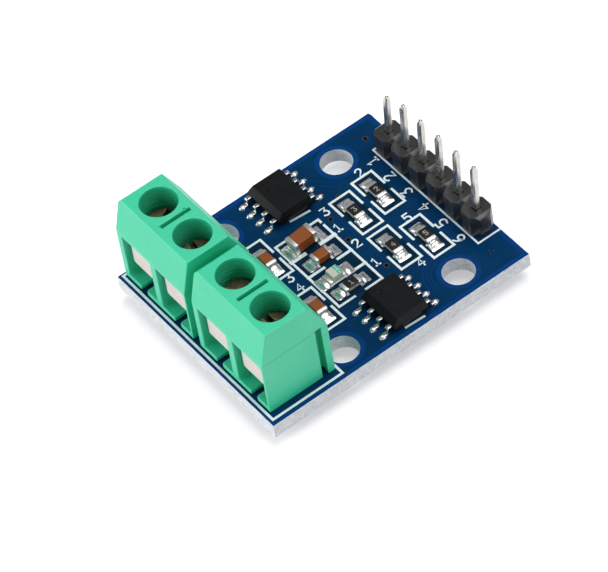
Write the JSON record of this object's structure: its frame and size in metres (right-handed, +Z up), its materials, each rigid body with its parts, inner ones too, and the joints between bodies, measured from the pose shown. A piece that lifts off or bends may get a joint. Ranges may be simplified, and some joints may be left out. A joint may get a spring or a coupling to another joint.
{
  "type": "dc motor driver module",
  "caption": "Small blue circuit board that drives DC motors, with screw terminal blocks along one edge, a pin header along the other, driver chips and their small parts between them.",
  "frame": {"origin": "under the middle of the module, on the plane that the ends of its soldered pins stand on", "axes": "+Z up out of the board's component side, +X along the terminal edge with the terminals in front, +Y from the terminals to the pin header"},
  "size_m": [0.0234, 0.0288, 0.0128],
  "materials": {
    "solder_mask": "satin solder mask on glass fibre board",
    "terminal_plastic": "smooth moulded",
    "header_plastic": "fine moulded",
    "chip_resin": "matt moulded",
    "tinned_metal": "tinned",
    "plated_steel": "plated",
    "screw_metal": "yellow passivated",
    "solder": "bright solder",
    "capacitor_ceramic": "fired ceramic with metal ends",
    "resistor_coat": "glaze with metal ends",
    "led_lens": "clear resin"
  },
  "bodies": {
    "module": {"pcb": "solder_mask", "terminal_housing_1": "terminal_plastic", "terminal_housing_2": "terminal_plastic", "terminal_contact_1": "tinned_metal", "terminal_contact_2": "tinned_metal", "terminal_contact_3": "tinned_metal", "terminal_contact_4": "tinned_metal", "header_body": "header_plastic", "header_pin_1": "tinned_metal", "header_pin_2": "tinned_metal", "header_pin_3": "tinned_metal", "header_pin_4": "tinned_metal", "header_pin_5": "tinned_metal", "header_pin_6": "tinned_metal", "driver_chip_1": "chip_resin", "driver_chip_2": "chip_resin", "chip_1_lead_1": "tinned_metal", "chip_1_lead_2": "tinned_metal", "chip_1_lead_3": "tinned_metal", "chip_1_lead_4": "tinned_metal", "chip_1_lead_5": "tinned_metal", "chip_1_lead_6": "tinned_metal", "chip_1_lead_7": "tinned_metal", "chip_1_lead_8": "tinned_metal", "chip_2_lead_1": "tinned_metal", "chip_2_lead_2": "tinned_metal", "chip_2_lead_3": "tinned_metal", "chip_2_lead_4": "tinned_metal", "chip_2_lead_5": "tinned_metal", "chip_2_lead_6": "tinned_metal", "chip_2_lead_7": "tinned_metal", "chip_2_lead_8": "tinned_metal", "resistor_1": "resistor_coat", "resistor_2": "resistor_coat", "resistor_3": "resistor_coat", "resistor_4": "resistor_coat", "resistor_5": "resistor_coat", "capacitor_1": "capacitor_ceramic", "capacitor_2": "capacitor_ceramic", "capacitor_3": "capacitor_ceramic", "capacitor_4": "capacitor_ceramic", "led_1": "led_lens", "terminal_solder_1": "solder", "terminal_solder_2": "solder", "terminal_solder_3": "solder", "terminal_solder_4": "solder", "header_solder_1": "solder", "header_solder_2": "solder", "header_solder_3": "solder", "header_solder_4": "solder", "header_solder_5": "solder", "header_solder_6": "solder"},
    "clamp_1": {"clamp_leaf_1": "plated_steel"},
    "screw_1": {"terminal_screw_1": "screw_metal"},
    "clamp_2": {"clamp_leaf_2": "plated_steel"},
    "screw_2": {"terminal_screw_2": "screw_metal"},
    "clamp_3": {"clamp_leaf_3": "plated_steel"},
    "screw_3": {"terminal_screw_3": "screw_metal"},
    "clamp_4": {"clamp_leaf_4": "plated_steel"},
    "screw_4": {"terminal_screw_4": "screw_metal"}
  },
  "joints": [
    {"name": "clamp_1_slide", "type": "slide", "parent": "module", "child": "clamp_1", "axis": [0, 0, 1], "range_m": [-0.00067, 0.0009]},
    {"name": "screw_1_turn", "type": "hinge", "parent": "clamp_1", "child": "screw_1", "pos_m": [-0.00822, -0.0104, 0.00559], "axis": [0, 0, 1], "range_deg": [-540, 720]},
    {"name": "clamp_2_slide", "type": "slide", "parent": "module", "child": "clamp_2", "axis": [0, 0, 1], "range_m": [-0.00067, 0.0009]},
    {"name": "screw_2_turn", "type": "hinge", "parent": "clamp_2", "child": "screw_2", "pos_m": [-0.00314, -0.0104, 0.00559], "axis": [0, 0, 1], "range_deg": [-540, 720]},
    {"name": "clamp_3_slide", "type": "slide", "parent": "module", "child": "clamp_3", "axis": [0, 0, 1], "range_m": [-0.00067, 0.0009]},
    {"name": "screw_3_turn", "type": "hinge", "parent": "clamp_3", "child": "screw_3", "pos_m": [0.00314, -0.0104, 0.00559], "axis": [0, 0, 1], "range_deg": [-540, 720]},
    {"name": "clamp_4_slide", "type": "slide", "parent": "module", "child": "clamp_4", "axis": [0, 0, 1], "range_m": [-0.00067, 0.0009]},
    {"name": "screw_4_turn", "type": "hinge", "parent": "clamp_4", "child": "screw_4", "pos_m": [0.00822, -0.0104, 0.00559], "axis": [0, 0, 1], "range_deg": [-540, 720]}
  ],
  "couplings": [
    {"joint": "screw_1_turn", "follows": "clamp_1_slide", "rad_per_m": 13963},
    {"joint": "screw_2_turn", "follows": "clamp_2_slide", "rad_per_m": 13963},
    {"joint": "screw_3_turn", "follows": "clamp_3_slide", "rad_per_m": 13963},
    {"joint": "screw_4_turn", "follows": "clamp_4_slide", "rad_per_m": 13963}
  ]
}
